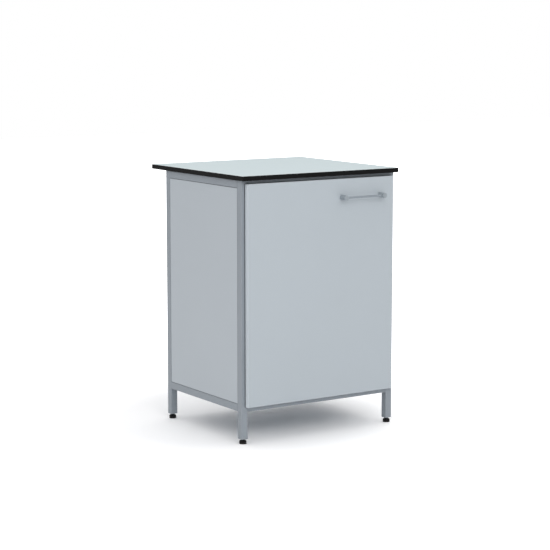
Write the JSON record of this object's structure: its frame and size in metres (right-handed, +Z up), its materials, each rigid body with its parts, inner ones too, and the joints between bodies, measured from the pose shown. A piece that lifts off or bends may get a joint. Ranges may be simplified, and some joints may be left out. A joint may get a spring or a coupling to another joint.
{
  "type": "laboratory bench cabinet",
  "caption": "Laboratory bench section: laminate worktop on a panelled square-tube frame, one overlay door on cup hinges, inner shelf and levelling feet.",
  "frame": {"origin": "on the floor, under the middle of the whole object's box, handle included", "axes": "+X to the right of someone who stands at the door, +Y from the door to the back, +Z up"},
  "size_m": [0.636, 0.6294, 0.9],
  "materials": {
    "facing": "fine matt laminate facing, pale grey-blue",
    "core": "black compact laminate, sawn and polished edge",
    "door_board": "light grey melamine-faced board, satin",
    "panel_board": "light grey melamine-faced board, satin",
    "frame_paint": "grey powder coat, fine orange peel",
    "handle_metal": "satin anodised",
    "zinc_steel": "bright zinc plate",
    "black_plastic": "moulded black plastic",
    "clear_buffer": "soft translucent buffer"
  },
  "bodies": {
    "carcass": {"back_panel": "panel_board", "board_screws": "zinc_steel", "bottom_board": "panel_board", "frame_lugs": "frame_paint", "hinge_arm_pins": "zinc_steel", "hinge_arms": "zinc_steel", "hinge_plate_screws": "zinc_steel", "hinge_plates": "zinc_steel", "leg_back_left": "frame_paint", "leg_back_right": "frame_paint", "leg_front_left": "frame_paint", "leg_front_right": "frame_paint", "leg_plugs": "black_plastic", "lower_back_rail": "frame_paint", "lower_front_rail": "frame_paint", "lower_left_rail": "frame_paint", "lower_right_rail": "frame_paint", "shelf": "panel_board", "shelf_pegs": "zinc_steel", "side_panel_left": "panel_board", "side_panel_right": "panel_board", "upper_back_rail": "frame_paint", "upper_front_rail": "frame_paint", "upper_left_rail": "frame_paint", "upper_right_rail": "frame_paint", "worktop_core": "core", "worktop_facing": "facing"},
    "outer_links": {"outer_links": "zinc_steel"},
    "door": {"door_panel": "door_board", "handle_post_far": "handle_metal", "handle_post_near": "handle_metal", "handle_bar": "handle_metal", "handle_screws": "zinc_steel", "door_buffers": "clear_buffer", "hinge_cups": "zinc_steel", "hinge_cup_screws": "zinc_steel", "hinge_cup_pins": "zinc_steel"},
    "inner_links": {"inner_links": "zinc_steel"},
    "foot_front_left": {"foot_front_left": "black_plastic", "stud_front_left": "zinc_steel"},
    "foot_front_right": {"foot_front_right": "black_plastic", "stud_front_right": "zinc_steel"},
    "foot_back_left": {"foot_back_left": "black_plastic", "stud_back_left": "zinc_steel"},
    "foot_back_right": {"foot_back_right": "black_plastic", "stud_back_right": "zinc_steel"}
  },
  "joints": [
    {"name": "outer_link_turn", "type": "hinge", "parent": "carcass", "child": "outer_links", "pos_m": [-0.26131, -0.26468, 0.5], "axis": [0, 0, -1], "range_deg": [-19.97, 0]},
    {"name": "door_swing", "type": "hinge", "parent": "outer_links", "child": "door", "pos_m": [-0.28892, -0.26945, 0.5], "axis": [0, 0, -1], "range_deg": [0, 111.96]},
    {"name": "inner_link_turn", "type": "hinge", "parent": "carcass", "child": "inner_links", "pos_m": [-0.27776, -0.27816, 0.5], "axis": [0, 0, -1], "range_deg": [-20.34, 0]},
    {"name": "foot_front_left_level", "type": "slide", "parent": "carcass", "child": "foot_front_left", "axis": [0, 0, -1], "range_m": [0, 0.015]},
    {"name": "foot_front_right_level", "type": "slide", "parent": "carcass", "child": "foot_front_right", "axis": [0, 0, -1], "range_m": [0, 0.015]},
    {"name": "foot_back_left_level", "type": "slide", "parent": "carcass", "child": "foot_back_left", "axis": [0, 0, -1], "range_m": [0, 0.015]},
    {"name": "foot_back_right_level", "type": "slide", "parent": "carcass", "child": "foot_back_right", "axis": [0, 0, -1], "range_m": [0, 0.015]}
  ],
  "couplings": [
    {"joint": "outer_link_turn", "follows": "door_swing", "ratio": -0.17831},
    {"joint": "inner_link_turn", "follows": "door_swing", "ratio": -0.18159}
  ]
}
